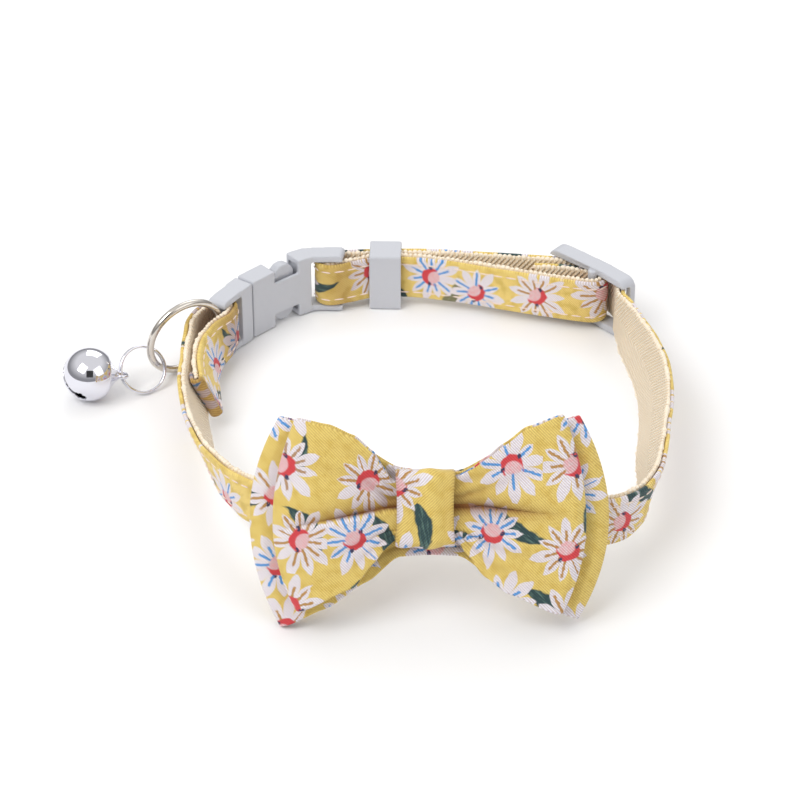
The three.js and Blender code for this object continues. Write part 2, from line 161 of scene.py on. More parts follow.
def makeFloralPrint():
    group, make, given, result = newGroup(
        "floral print",
        [("Vector", "NodeSocketVector", None), ("Ground", "NodeSocketColor", srgb(238, 214, 122))],
        [("Color", "NodeSocketColor")],
    )
    where = given["Vector"]
    wobble = make.noise(where, 0.55)
    fine = make.noise(where, 1.7)
    offset, chance = make.scatter(where, flowers["pitch"], 0.45)
    x, y, _ = make.split(offset)
    ahead, aside = make.turned(x, y, make.times(chance[0], fullTurn))
    reach = make.math("MULTIPLY_ADD", make.math("SUBTRACT", wobble, 0.5), 1.3, make.vector("LENGTH", offset))
    around = make.math("ARCTAN2", aside, ahead)
    turns = make.math("MULTIPLY_ADD", around, flowers["petals"] / fullTurn, flowers["petals"])
    whim = make.add("ShaderNodeTexWhiteNoise", noise_dimensions="2D")
    petalSeed = make.combine(make.math("FLOOR", turns), make.times(chance[1], 97.0))
    make.join(petalSeed, whim.inputs["Vector"])
    vary = make.split(whim.outputs["Color"])
    share = make.math("FRACT", turns)
    middle = make.math("ABSOLUTE", make.math("SUBTRACT", share, 0.5))  # 0 on a petal's middle line
    lobe = make.math("SUBTRACT", 1.0, make.times(middle, 2.0))
    radius = flowers["radius"]
    rim = make.math("MULTIPLY_ADD", make.math("POWER", lobe, 0.55), radius * 0.52, radius * 0.45)
    rim = make.times(rim, make.math("MULTIPLY_ADD", vary[0], 0.3, 0.78))
    petals = make.step(make.math("SUBTRACT", rim, reach), 0.0, 0.3)
    gapWidth = make.times(make.step(reach, 3.6, 2.4), 0.14)
    parted = make.math("MULTIPLY_ADD", make.math("SUBTRACT", lobe, gapWidth), 12.0, 0.8, useClamp=True)
    petals = make.times(petals, parted)

    # leaves lie under the flowers
    leafWhere = make.vector("ADD", where, (37.0, 21.0, 0.0))
    leafOffset, leafChance = make.scatter(leafWhere, flowers["leafPitch"], 0.8)
    leafX, leafY, _ = make.split(leafOffset)
    leafAlong, leafAside = make.turned(leafX, leafY, make.times(leafChance[0], fullTurn))
    bend = make.times(leafAlong, leafAlong)
    belly = make.math("MULTIPLY_ADD", bend, -0.042, 1.45)
    sway = make.math("MULTIPLY_ADD", bend, 0.045, leafAside)
    swayed = make.math("MULTIPLY_ADD", wobble, 1.2, make.math("SUBTRACT", sway, 0.6))
    leafEdge = make.math("SUBTRACT", belly, make.math("ABSOLUTE", swayed))
    leaf = make.times(make.step(leafEdge, 0.0, 0.35), make.step(leafChance[1], 0.3, 0.02))
    brush = make.noise(make.combine(make.times(leafAlong, 0.35), make.times(leafAside, 2.2)), 1.0, 3.0)
    leafColour = make.mix(make.step(brush, 0.56, 0.12), srgb(44, 74, 78), srgb(86, 118, 112))

    # ground with washed patches and small ochre marks
    ground = make.mix(make.step(wobble, 0.56, 0.2), given["Ground"], srgb(228, 200, 104))
    marks = make.times(make.step(make.noise(where, 2.6, 1.0), 0.64, 0.05), 0.22)
    ground = make.mix(marks, ground, srgb(176, 128, 52))
    colour = make.mix(leaf, ground, leafColour)

    # petals: white to lilac, with radial strokes in blue or ochre
    lateral = make.times(make.times(middle, reach), fullTurn / flowers["petals"])
    lateral = make.math("ABSOLUTE", make.math("MULTIPLY_ADD", make.math("SUBTRACT", fine, 0.5), 0.7, lateral))
    line = make.within(lateral, flowers["strokeWidth"], 0.14)
    strokeEnd = make.math("MULTIPLY_ADD", vary[1], 1.8, 3.9)
    inside = make.step(make.math("SUBTRACT", strokeEnd, reach), 0.0, 0.3)
    strokes = make.times(make.times(line, inside), make.step(vary[2], 0.22, 0.02))
    strokeColour = make.mix(make.step(chance[2], 0.4, 0.02), srgb(190, 140, 50), srgb(64, 156, 236))
    petal = make.mix(make.step(fine, 0.5, 0.5), srgb(246, 243, 249), srgb(233, 230, 245))
    petal = make.mix(make.times(strokes, 0.92), petal, strokeColour)
    colour = make.mix(petals, colour, petal)

    # centre: pink disc, red crescent to one side, a navy fleck or two
    discColour = make.mix(make.step(fine, 0.5, 0.2), srgb(240, 186, 194), srgb(236, 206, 214))
    colour = make.mix(make.within(reach, 1.75, 0.3), colour, discColour)
    shifted = make.vector("LENGTH", make.combine(make.math("SUBTRACT", ahead, 0.95), aside))
    crescent = make.times(make.within(reach, 2.15, 0.25), make.step(shifted, 1.75, 0.3))
    colour = make.mix(crescent, colour, srgb(222, 70, 78))
    fleckAhead = make.math("ADD", ahead, make.math("MULTIPLY_ADD", aside, 0.35, 0.5))
    fleckAside = make.math("SUBTRACT", make.math("ABSOLUTE", aside), 1.9)
    fleckAway = make.vector("LENGTH", make.combine(fleckAhead, fleckAside))
    flecks = make.times(make.within(fleckAway, 0.45, 0.2), make.step(fine, 0.42, 0.1))
    colour = make.mix(flecks, colour, srgb(62, 60, 96))
    make.join(colour, result["Color"])
    return group


# Threads crossing at an angle; pitch in millimetres
def makeWeave():
    group, make, given, result = newGroup(
        "weave",
        [("Vector", "NodeSocketVector", None), ("Pitch", "NodeSocketFloat", 0.5), ("Slant", "NodeSocketFloat", 1.0)],
        [("Height", "NodeSocketFloat"), ("Tone", "NodeSocketFloat")],
    )
    x, y, _ = make.split(given["Vector"])
    turns = make.math("DIVIDE", fullTurn, given["Pitch"])
    first = make.math("SINE", make.math("MULTIPLY", make.math("MULTIPLY_ADD", y, given["Slant"], x), turns))
    second = make.math("SINE", make.math("MULTIPLY", make.math("SUBTRACT", x, y), make.math("MULTIPLY", turns, 1.7)))
    height = make.math("MULTIPLY_ADD", second, 0.3, first)
    uneven = make.noise(given["Vector"], 3.0)
    height = make.math("ADD", height, uneven)
    make.join(height, result["Height"])
    make.join(make.math("MULTIPLY_ADD", height, 0.5, 0.3), result["Tone"])
    return group


# Faint unevenness of a moulded or plated surface; Vector in metres
def makeGrain():
    group, make, given, result = newGroup(
        "surface grain",
        [("Vector", "NodeSocketVector", None), ("Scale", "NodeSocketFloat", 900.0),
         ("Amount", "NodeSocketFloat", 0.1)],
        [("Change", "NodeSocketFloat"), ("Height", "NodeSocketFloat")],
    )
    scaled = make.vector("SCALE", given["Vector"], scale=given["Scale"])
    broad = make.noise(scaled, 1.0, 3.0)
    fine = make.noise(scaled, 6.0, 1.0)
    change = make.math("MULTIPLY", make.math("SUBTRACT", broad, 0.5), given["Amount"])
    make.join(change, result["Change"])
    make.join(fine, result["Height"])
    return group


floralPrint = makeFloralPrint()
weave = makeWeave()
grain = makeGrain()


def newMaterial(name):
    material = bpy.data.materials.new(name)
    material.use_nodes = True
    shader = material.node_tree.nodes["Principled BSDF"]
    return material, NodeMaker(material.node_tree), shader


def placeGroup(make, group, **values):
    node = make.add("ShaderNodeGroup", node_tree=group)
    for key, value in values.items():
        make.join(value, node.inputs[key])
    return node.outputs


def bumpInto(make, shader, height, strength, distance):
    node = make.add("ShaderNodeBump")
    node.inputs["Strength"].default_value = strength
    node.inputs["Distance"].default_value = distance
    make.join(height, node.inputs["Height"])
    make.join(node.outputs[0], shader.inputs["Normal"])


def clothUv(make):
    node = make.add("ShaderNodeUVMap", uv_map="cloth")
    return make.vector("SCALE", node.outputs[0], scale=100.0)  # one unit of the map is 100 mm


# The printed cotton; shift slides the print so that pieces differ
def makeCotton(name, shift, ground=srgb(238, 214, 122)):
    material, make, shader = newMaterial(name)
    flat = clothUv(make)
    moved = make.vector("ADD", flat, shift)
    printed = placeGroup(make, floralPrint, Vector=moved, Ground=ground)
    threads = placeGroup(make, weave, Vector=flat, Pitch=0.58, Slant=1.0)
    colour = make.mix(make.math("MULTIPLY", threads["Tone"], 0.48), printed["Color"], srgb(178, 146, 104), "MULTIPLY")
    # painted shade: the per-point shade values darken the print towards warm brown in creases, pleats and shaded ends
    shade = make.add("ShaderNodeAttribute", attribute_name="fold")
    colour = make.mix(shade.outputs["Fac"], colour, srgb(138, 84, 38), "MULTIPLY")
    make.join(colour, shader.inputs["Base Color"])
    shader.inputs["Roughness"].default_value = 0.82
    shader.inputs["Sheen Weight"].default_value = 0.15
    bumpInto(make, shader, threads["Height"], 0.35, 0.00006)
    return material


def makeWebbing():
    material, make, shader = newMaterial("cream nylon webbing")
    flat = clothUv(make)
    x, y, _ = make.split(flat)
    ribPitch = 1.15
    # herringbone: ribs lean one way on one half and the other way on the other
    leaning = make.math("ABSOLUTE", make.math("SUBTRACT", y, 5.2))
    ribs = make.math("SINE", make.math("MULTIPLY", make.math("MULTIPLY_ADD", leaning, 0.8, x), fullTurn / ribPitch))
    yarns = placeGroup(make, weave, Vector=flat, Pitch=0.42, Slant=0.15)
    height = make.math("MULTIPLY_ADD", yarns["Height"], 0.3, ribs)
    tone = make.math("MULTIPLY_ADD", height, 0.34, 0.44, useClamp=True)
    patchy = make.noise(flat, 0.5, 3.0)
    colour = make.mix(tone, srgb(236, 206, 164), srgb(255, 246, 226))
    colour = make.mix(make.math("MULTIPLY", make.step(patchy, 0.5, 0.3), 0.3), colour, srgb(250, 226, 190))
    # painted shade: the per-point shade values darken the webbing towards warm tan where it runs into shaded places
    shade = make.add("ShaderNodeAttribute", attribute_name="fold")
    colour = make.mix(shade.outputs["Fac"], colour, srgb(186, 140, 96), "MULTIPLY")
    make.join(colour, shader.inputs["Base Color"])
    shader.inputs["Roughness"].default_value = 0.5
    shader.inputs["Sheen Weight"].default_value = 0.2
    bumpInto(make, shader, height, 0.7, 0.00032)
    return material


def makeYarn(name, colour, roughness):
    material, make, shader = newMaterial(name)
    place = make.add("ShaderNodeTexCoord").outputs["Object"]
    uneven = placeGroup(make, grain, Vector=place, Scale=2200.0, Amount=0.5)
    tint = make.mix(make.math("ADD", uneven["Change"], 0.22, useClamp=True), colour, srgb(226, 196, 162))
    make.join(tint, shader.inputs["Base Color"])
    shader.inputs["Roughness"].default_value = roughness
    bumpInto(make, shader, uneven["Height"], 0.3, 0.0001)
    return material


def makeHard(name, colour, second, roughness, metallic, scale, amount, bump):
    material, make, shader = newMaterial(name)
    place = make.add("ShaderNodeTexCoord").outputs["Object"]
    uneven = placeGroup(make, grain, Vector=place, Scale=scale, Amount=amount)
    tint = make.mix(make.math("ADD", uneven["Change"], 0.5, useClamp=True), colour, second)
    make.join(tint, shader.inputs["Base Color"])
    make.join(make.math("MULTIPLY_ADD", uneven["Change"], 0.4, roughness, useClamp=True), shader.inputs["Roughness"])
    shader.inputs["Metallic"].default_value = metallic
    if bump:
        bumpInto(make, shader, uneven["Height"], bump, 0.00004)
    return material


bowCotton = makeCotton("printed cotton, bow", (4.0, 9.0, 0.0))
frontCotton = makeCotton("printed cotton, front bow", (71.0, 33.0, 0.0))
knotCotton = makeCotton("printed cotton, knot", (12.5, 47.0, 0.0))
strapCotton = makeCotton("printed cotton, strap", (3.0, 11.6, 0.0), srgb(248, 224, 134))
nylon = makeWebbing()
selvageYarn = makeYarn("selvage yarn", srgb(255, 245, 226), 0.5)
stitchThread = makeYarn("stitch thread", srgb(240, 224, 216), 0.6)
# two close colours, roughness, metallic, then the grain's scale, amount and bump
lightPlastic = makeHard("light grey moulded plastic", srgb(187, 189, 195), srgb(197, 199, 207),
                        0.4, 0.0, 700.0, 0.3, 0.12)
nickelPlate = makeHard("nickel plate", srgb(222, 216, 208), srgb(206, 200, 192), 0.17, 1.0, 500.0, 0.2, 0.0)
chromePlate = makeHard("chrome plate", srgb(232, 232, 240), srgb(222, 222, 230), 0.06, 1.0, 300.0, 0.1, 0.0)
elasticBand = makeYarn("woven elastic", srgb(236, 228, 210), 0.75)
print("materials made")


def addObject(name, data):
    made = bpy.data.objects.new(name, data)
    bpy.context.scene.collection.objects.link(made)
    return made


def settleModifiers(piece):  # the evaluated mesh takes the place of the modifiers
    evaluated = piece.evaluated_get(bpy.context.evaluated_depsgraph_get())
    made = bpy.data.meshes.new_from_object(evaluated)
    piece.modifiers.clear()
    piece.data = made
    made.name = piece.name
    return made


def addPiece(name, vertices, faces, material, uvs=None, fold=None):
    mesh = bpy.data.meshes.new(name)
    mesh.from_pydata([tuple(v) for v in vertices], [], faces)
    piece = addObject(name, mesh)
    mesh.materials.append(material)
    if uvs is not None:
        layer = mesh.uv_layers.new(name="cloth")
        for loopIndex, loop in enumerate(mesh.loops):
            layer.data[loopIndex].uv = uvs[loop.vertex_index]
    # per-point painted shade, read by the cloth materials
    if fold is not None:
        attribute = mesh.attributes.new("fold", "FLOAT", "POINT")
        attribute.data.foreach_set("value", fold)
    mesh.polygons.foreach_set("use_smooth", [True] * len(mesh.polygons))
    mesh.update()
    return piece


def fixNormals(piece):
    shape = bmesh.new()
    shape.from_mesh(piece.data)
    bmesh.ops.recalc_face_normals(shape, faces=shape.faces)
    shape.to_mesh(piece.data)
    shape.free()
    piece.data.update()


def finishPiece(piece, slot, *nodes):
    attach(piece, "root")
    if nodes:
        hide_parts(*nodes)
    return piece


def roundedEdge(point, normal, way, thickness, rim, column):
    out = way.normalized()
    edge = []
    for k in range(1, rim + 1):
        angle = math.pi * k / (rim + 1)
        edge.append((point + (normal * math.cos(angle) + out * math.sin(angle)) * thickness / 2, column))
    return edge


# A sheet of cloth with thickness and rounded edges, from a grid of points, with a painted shade value at each point;
# lengths in millimetres
def clothShell(name, grid, flat, thickness, closed, material, fold, rim=2, wound=True):
    rows = len(grid)
    columns = len(grid[0])
    vertices, uvs, shades = [], [], []
    outline = []
    for i in range(rows):
        before = grid[(i - 1) % rows] if closed or i > 0 else grid[0]
        after = grid[(i + 1) % rows] if closed or i < rows - 1 else grid[-1]
        section = []
        normals = []
        for j in range(columns):
            alongWay = after[j] - before[j]
            upWay = grid[i][min(j + 1, columns - 1)] - grid[i][max(j - 1, 0)]
            normals.append(alongWay.cross(upWay).normalized())
        for j in range(columns):
            section.append((grid[i][j] + normals[j] * thickness / 2, j))
        section += roundedEdge(grid[i][-1], normals[-1], grid[i][-1] - grid[i][-2], thickness, rim, columns - 1)
        for j in range(columns - 1, -1, -1):
            section.append((grid[i][j] - normals[j] * thickness / 2, j))
        section += roundedEdge(grid[i][0], -normals[0], grid[i][0] - grid[i][1], thickness, rim, 0)
        outline.append(section)
        for point, j in section:
            vertices.append(point * mm)
            uvs.append((flat[i][j][0] / 100, flat[i][j][1] / 100))
            shades.append(fold[i][j])
    around = len(outline[0])
    faces = []
    for i in range(rows if closed else rows - 1):
        following = (i + 1) % rows
        for j in range(around):
            k = (j + 1) % around
            faces.append((i * around + j, following * around + j, following * around + k, i * around + k))
    if not closed:
        for i in (0, rows - 1):
            faces.append(tuple(i * around + j for j in range(around)))
    piece = addPiece(name, vertices, faces, material, uvs, shades)
    if closed and wound:
        # the print jumps where the loop closes, so that one column of faces gets its own end
        layer = piece.data.uv_layers["cloth"]
        length = flat[-1][0][0] + (flat[1][0][0] - flat[0][0][0])
        for face in piece.data.polygons:
            owners = [v // around for v in face.vertices]
            if max(owners) - min(owners) > 1:
                for loopIndex in face.loop_indices:
                    if piece.data.loops[loopIndex].vertex_index // around == 0:
                        old = layer.data[loopIndex].uv
                        layer.data[loopIndex].uv = (old[0] + length / 100, old[1])
    fixNormals(piece)
    return piece


# Smooth line through points, bending least where they are unevenly spaced
def splinePoint(points, t):
    last = len(points) - 1
    place = clamp(t) * last
    index = min(int(place), last - 1)
    weight = place - index
    p1, p2 = points[index], points[index + 1]
    p0 = points[index - 1] if index > 0 else p1 * 2 - p2
    p3 = points[index + 2] if index + 2 <= last else p2 * 2 - p1
    gaps = [max((b - a).length ** 0.5, 1e-4) for a, b in ((p0, p1), (p1, p2), (p2, p3))]
    first = (p1 - p0) / gaps[0] - (p2 - p0) / (gaps[0] + gaps[1]) + (p2 - p1) / gaps[1]
    second = (p2 - p1) / gaps[1] - (p3 - p1) / (gaps[1] + gaps[2]) + (p3 - p2) / gaps[2]
    first = first * gaps[1]
    second = second * gaps[1]
    c2 = p1 * -3 + p2 * 3 - first * 2 - second
    c3 = p1 * 2 - p2 * 2 + first + second
    return p1 + first * weight + c2 * weight ** 2 + c3 * weight ** 3


# The camera comes first, then the strap's way
camera = {"height": 34.0, "distance": 642.0, "lens": 140.0, "target": (-5.6, 0.0, 11.5)}


def placeCamera():
    data = bpy.data.cameras.new("camera")
    data.lens = camera["lens"]
    data.sensor_width = 36
    eye = addObject("camera", data)
    target = Vector(camera["target"]) + loopShift
    rise = math.radians(camera["height"])
    eye.location = (target + Vector((0, -math.cos(rise), math.sin(rise))) * camera["distance"]) * mm
    eye.rotation_euler = (math.pi / 2 - rise, 0, 0)
    data.clip_start = 0.01
    bpy.context.scene.camera = eye


placeCamera()

# Rows of the strap's way: x, y, height of the middle, lean of its top towards the printed side
level = 7.35
tailRows = [
    (-45.5, 6.6, 8.6, -24), (-46.3, 13, 8.4, -24), (-46.4, 20, 8.1, -20), (-44.9, 26, 8.2, -12),
    (-42.3, 31.4, 7.8, -2),
]
loopRows = [
    (-49.7, 31.0, 8.2, -4), (-49.7, 25.5, 8.5, 11), (-49.2, 16, 8.1, 23), (-48.9, 6, 8.4, 27),
    (-47.2, -6, 9.0, 27), (-44.6, -18, 10.2, 19), (-40.3, -29.5, 12.1, 9), (-34.6, -38.2, 13.7, 1),
    (-25.5, -44.4, 15.4, -10), (-13, -47.6, 17.0, -22), (0, -47.9, 17.3, -27), (14, -48.3, 16.9, -24),
    (27, -47.9, 15.4, -13), (36.2, -45.6, 14.5, -2), (41.8, -39.4, 13.9, 8), (44.2, -30, 13.6, 22),
    (45.4, -18, 13.0, 31), (47.0, -5, 12.1, 33), (47.3, 8, 11.0, 32), (46.1, 19, 9.8, 28),
    (44.2, 30, 8.2, 20), (43.3, 36, 7.5, 10), (42.2, 40.4, level, 2), (42.4, 45, level, 0),
    (41.7, 48.4, level, 0), (40.3, 51.1, level, 0), (37.8, 52.8, level, 0), (34, 53.8, level, 0),
    (28, 54.8, level, 0), (14, 56.5, level, 0), (3, 57.7, level, 0), (-10, 57.9, level, 0),
]
returnRows = [
    (-17.0, 53.2, level, 0), (-13.0, 54.9, level, 0), (-10, 55.5, level, 0), (-3, 55.4, level, 0),
    (6, 53.6, level, 0), (17, 50.2, level, 0), (28, 46.9, level, 0),
]
endRows = [(30.5, 51.3, level, 0), (24, 51.9, level, 0)]
strap = {
    "webbingThickness": 1.0, "coverThickness": 0.9, "between": 0.12, "webbingWidth": 10.4,
    "coverWidth": 10.3, "turnRadius": 2.45, "spacing": 0.6,
    "stitchLength": 2.3, "stitchPitch": 3.0, "stitchWidth": 0.34, "stitchInset": 1.6,
    "selvagePitch": 1.05, "selvageSize": 0.62,
}


def turnRows(x, y, start, end):
    rows = []
    for i in range(7):
        angle = math.radians(start + (end - start) * i / 6)
        rows.append((x + strap["turnRadius"] * math.cos(angle), y + strap["turnRadius"] * math.sin(angle), level, 0))
    return rows


def strapFrames():
    rows = tailRows + turnRows(-44.0, 35.4, -32, 148) + loopRows
    rows += turnRows(-21.0, 54.4, 93, 273) + returnRows + turnRows(36.5, 47.3, -100, 95) + endRows
    points = [Vector(row[:3]) for row in rows]
    last = len(rows) - 1
    frames = []
    length = 0.0
    for i in range(last):
        reach = (points[i + 1] - points[i]).length
        steps = max(2, round(reach / strap["spacing"]))
        for j in range(steps + (1 if i == last - 1 else 0)):
            share = j / steps
            t = (i + share) / last
            lean = math.radians(rows[i][3] + (rows[i + 1][3] - rows[i][3]) * smooth(share))
            point = splinePoint(points, t)
            tangent = splinePoint(points, t + 0.0002) - splinePoint(points, t - 0.0002)
            flatSide = Vector((tangent.y, -tangent.x, 0)).normalized()
            side = Vector((flatSide.x * math.cos(lean), flatSide.y * math.cos(lean), -math.sin(lean)))
            across = Vector((flatSide.x * math.sin(lean), flatSide.y * math.sin(lean), math.cos(lean)))
            if frames:
                length += (point + loopShift - frames[-1]["point"]).length
            frames.append({"point": point + loopShift, "side": side, "across": across, "at": length})
    return frames, length


frames, strapLength = strapFrames()
strapThickness = strap["webbingThickness"] + strap["coverThickness"] + 0.2
webbingMiddle = -strapThickness / 2 + strap["webbingThickness"] / 2
coverMiddle = strapThickness / 2 - strap["coverThickness"] / 2


# Painted shade on the strap, where it runs into a fold, ring or slot: x, y, radius, amount
paintedShadeSpots = ((-45.5, 33.0, 6.0, 0.75), (-19.0, 54.0, 4.0, 0.5), (37.0, 50.0, 5.0, 0.4), (-9.0, 55.5, 4.5, 0.3))
# The cover's tucked end: ahead of the strap's first point, out from it, place along the cloth
tuck = (
    (2.6, -1.55, -5.2), (1.4, -1.6, -4.0), (0.3, -1.6, -3.0), (-0.6, -1.45, -2.2),
    (-1.15, -0.9, -1.5), (-1.3, -0.25, -0.9), (-1.0, 0.35, -0.5),
)


def strapShade(spot):
    place = spot["point"] - loopShift
    shade = 0.0
    for x, y, radius, amount in paintedShadeSpots:
        away = math.hypot(place.x - x, place.y - y)
        shade = max(shade, amount * math.exp(-(away / radius) ** 2))
    return shade


def makeStrapLayer(name, middle, width, thickness, columns, material, wavy):
    grid, flat, fold = [], [], []
    if wavy:  # the cover turns round the strap's first end and is tucked in behind it
        first = frames[0]
        ahead = (frames[1]["point"] - first["point"]).normalized()
        ups = [(j / (columns - 1) - 0.5) * (width - thickness) for j in range(columns)]
        for forward, out, at in tuck:
            start = first["point"] + ahead * forward + first["side"] * out
            grid.append([start + first["across"] * up for up in ups])
            flat.append([(at - 9.0, up + width / 2) for up in ups])
            # painted shadow on the tucked end of the cover
            fold.append([0.6] * columns)
    for i, spot in enumerate(frames):
        row, mapRow, shadeRow = [], [], []
        for j in range(columns):
            up = (j / (columns - 1) - 0.5) * (width - thickness)
            bulge = wavy * (noise.noise(Vector((spot["at"] * 0.11, up * 0.25, 3.0))))
            puff = 0.12 * (1 - (2 * up / width) ** 2) if wavy else 0.0
            out = middle + bulge + puff - 0.1 * bool(wavy)
            row.append(spot["point"] + spot["side"] * out + spot["across"] * up)
            mapRow.append((spot["at"], up + width / 2))
            # painted shade from the spots listed above
            shadeRow.append(strapShade(spot))
        grid.append(row)
        flat.append(mapRow)
        fold.append(shadeRow)
    return clothShell(name, grid, flat, thickness, False, material, fold, rim=3)


webbing = makeStrapLayer("webbing-strap", webbingMiddle, strap["webbingWidth"], strap["webbingThickness"],
                         9, nylon, 0.0)
finishPiece(webbing, "webbing", "strap_webbing")
cover = makeStrapLayer("strap-cover", coverMiddle, strap["coverWidth"], strap["coverThickness"],
                       11, strapCotton, 0.12)
finishPiece(cover, "printed_cotton", "strap_cover")
print("strap laid, mm long:", round(strapLength, 1))


# Small beads set along a line: stitches and selvage loops
def beadTree():
    tree = bpy.data.node_groups.new("beads along a line", "GeometryNodeTree")
    tree.is_modifier = True
    face = tree.interface
    face.new_socket(name="Line", in_out="INPUT", socket_type="NodeSocketGeometry")
    for label, kind, value in (
        ("Pitch", "NodeSocketFloat", 0.003), ("Length", "NodeSocketFloat", 0.002),
        ("Width", "NodeSocketFloat", 0.0004), ("Unevenness", "NodeSocketFloat", 0.15),
        ("Seed", "NodeSocketInt", 4), ("Thread", "NodeSocketMaterial", None),
    ):
        socket = face.new_socket(name=label, in_out="INPUT", socket_type=kind)
        if value is not None:
            socket.default_value = value
    face.new_socket(name="Beads", in_out="OUTPUT", socket_type="NodeSocketGeometry")
    make = NodeMaker(tree)
    given = make.add("NodeGroupInput").outputs
    curve = make.add("GeometryNodeMeshToCurve")
    make.join(given["Line"], curve.inputs["Mesh"])
    spaced = make.add("GeometryNodeResampleCurve", mode="LENGTH")
    make.join(curve.outputs[0], spaced.inputs["Curve"])
    make.join(given["Pitch"], spaced.inputs["Length"])
    bead = make.add("GeometryNodeMeshUVSphere")
    for label, value in (("Segments", 8), ("Rings", 6), ("Radius", 0.5)):
        make.join(value, bead.inputs[label])
    rounded = make.add("GeometryNodeSetShadeSmooth")
    make.join(bead.outputs["Mesh"], rounded.inputs["Geometry"])
    chance = make.add("FunctionNodeRandomValue", data_type="FLOAT")
    make.join(given["Seed"], chance.inputs["Seed"])
    make.join(make.math("SUBTRACT", 1.0, given["Unevenness"]), chance.inputs[2])
    make.join(make.math("ADD", 1.0, given["Unevenness"]), chance.inputs[3])
    size = make.combine(given["Width"], given["Width"], given["Length"])
    turn = make.add("FunctionNodeAlignRotationToVector", axis="Z")
    make.join(make.add("GeometryNodeInputTangent").outputs[0], turn.inputs["Vector"])
    place = make.add("GeometryNodeInstanceOnPoints")
    for label, source in (
        ("Points", spaced.outputs[0]), ("Instance", rounded.outputs[0]), ("Rotation", turn.outputs[0]),
        ("Scale", make.vector("SCALE", size, scale=chance.outputs[1])),
    ):
        make.join(source, place.inputs[label])
    real = make.add("GeometryNodeRealizeInstances")
    make.join(place.outputs[0], real.inputs[0])
    dressed = make.add("GeometryNodeSetMaterial")
    make.join(real.outputs[0], dressed.inputs["Geometry"])
    make.join(given["Thread"], dressed.inputs["Material"])
    make.join(dressed.outputs[0], make.add("NodeGroupOutput").inputs[0])
    return tree


beadsAlongLine = beadTree()


def makeBeads(name, lines, pitch, length, width, uneven, seed, thread, slot):
    vertices, edges = [], []
    for line in lines:
        first = len(vertices)
        vertices += [tuple(point * mm) for point in line]
        edges += [(first + i, first + i + 1) for i in range(len(line) - 1)]
    mesh = bpy.data.meshes.new(name + " lines")
    mesh.from_pydata(vertices, edges, [])
    piece = addObject(name, mesh)
    modifier = piece.modifiers.new("beads", "NODES")
    modifier.node_group = beadsAlongLine
    sockets = {item.name: item.identifier for item in beadsAlongLine.interface.items_tree if item.in_out == "INPUT"}
    for label, value in (
        ("Pitch", pitch * mm), ("Length", length * mm), ("Width", width * mm),
        ("Unevenness", uneven), ("Seed", seed), ("Thread", thread),
    ):
        modifier[sockets[label]] = value
    settleModifiers(piece)
    return finishPiece(piece, slot)


def strapLine(out, up):
    return [spot["point"] + spot["side"] * out + spot["across"] * up for spot in frames]


coverOut = strapThickness / 2 + 0.02
stitchUp = strap["coverWidth"] / 2 - strap["stitchInset"]
makeBeads("cover-stitches", [strapLine(coverOut, stitchUp), strapLine(coverOut, -stitchUp)],
          strap["stitchPitch"], strap["stitchLength"], strap["stitchWidth"], 0.08, 3, stitchThread, "printed_cotton")
selvageUp = strap["webbingWidth"] / 2 - 0.2
makeBeads("webbing-selvage", [strapLine(webbingMiddle, selvageUp), strapLine(webbingMiddle, -selvageUp)],
          strap["selvagePitch"], strap["selvageSize"] * 1.55, strap["selvageSize"] * 1.5,
          0.34, 8, selvageYarn, "webbing")
print("stitches and selvages set")

# Bow: two flat bands of cloth gathered at the middle, a knot round them and an elastic loop behind
bow = {"at": (0.0, -51.5, 18.9), "lean": 27.0, "thickness": 0.6}
bowTurn = Matrix.Rotation(math.pi / 2 - math.radians(bow["lean"]), 3, "X")
bowCentre = Vector(bow["at"]) + loopShift
# distance from the middle, height of the edge there; one list for each edge
backBand = {
    "leftTop": ((0, 8.6), (6, 9.6), (12, 12.8), (20, 16.9), (28.4, 19.4)),
    "rightTop": ((0, 8.6), (6, 9.0), (12, 11.8), (20, 16.6), (28.9, 19.7)),
    "leftBottom": ((0, -6.6), (6, -7.0), (12, -11.8), (20, -17.0), (28.2, -20.6)),
    "rightBottom": ((0, -6.6), (6, -6.8), (12, -10.8), (20, -15.4), (28.7, -19.2)),
    "puff": ((0, 0.85), (6, 0.95), (12, 1.35), (20, 1.5), (28.6, 1.1)),
    "corner": 28.5, "belly": 5.6, "level": 0.0, "overlap": 0.0, "slit": 0.6, "seed": 5.0,
}
frontBand = {
    "leftTop": ((0, 7.7), (7.2, 7.8), (8.9, 10.4), (10.7, 13.2), (14.3, 16.2), (19.2, 18.3), (25.4, 19.7)),
    "rightTop": ((0, 8.4), (5.4, 8.7), (8, 10.0), (11, 12.2), (14.2, 14.7), (18.6, 17.9), (25.4, 20.4)),
    "leftBottom": ((0, -2.7), (6.6, -3.0), (8.5, -4.6), (10.5, -7.2), (14.7, -12.2), (24.9, -16.8)),
    "rightBottom": ((0, -2.7), (5.5, -3.2), (6.8, -5.4), (10.6, -10.0), (15, -13.2), (24.4, -17.3)),
    "puff": ((0, 0.85), (7.2, 0.85), (9, 1.35), (13, 1.75), (19, 1.8), (25.2, 1.1)),
    "corner": 25.2, "belly": 4.3, "level": 4.6, "overlap": 1.5, "slit": 2.1, "seed": 11.0,
}


def between(table, out):
    i = 0
    while i < len(table) - 2 and table[i + 1][0] < out:
        i += 1
    share = clamp((out - table[i][0]) / (table[i + 1][0] - table[i][0]))
    rise = table[i + 1][1] - table[i][1]
    return table[i][1] + rise * smooth(share) * 0.4 + rise * share * 0.6


creases = ((0.6, 0.5), (-0.45, 0.45), (0.85, 0.25), (-0.75, 0.3))  # place across a wing, and depth


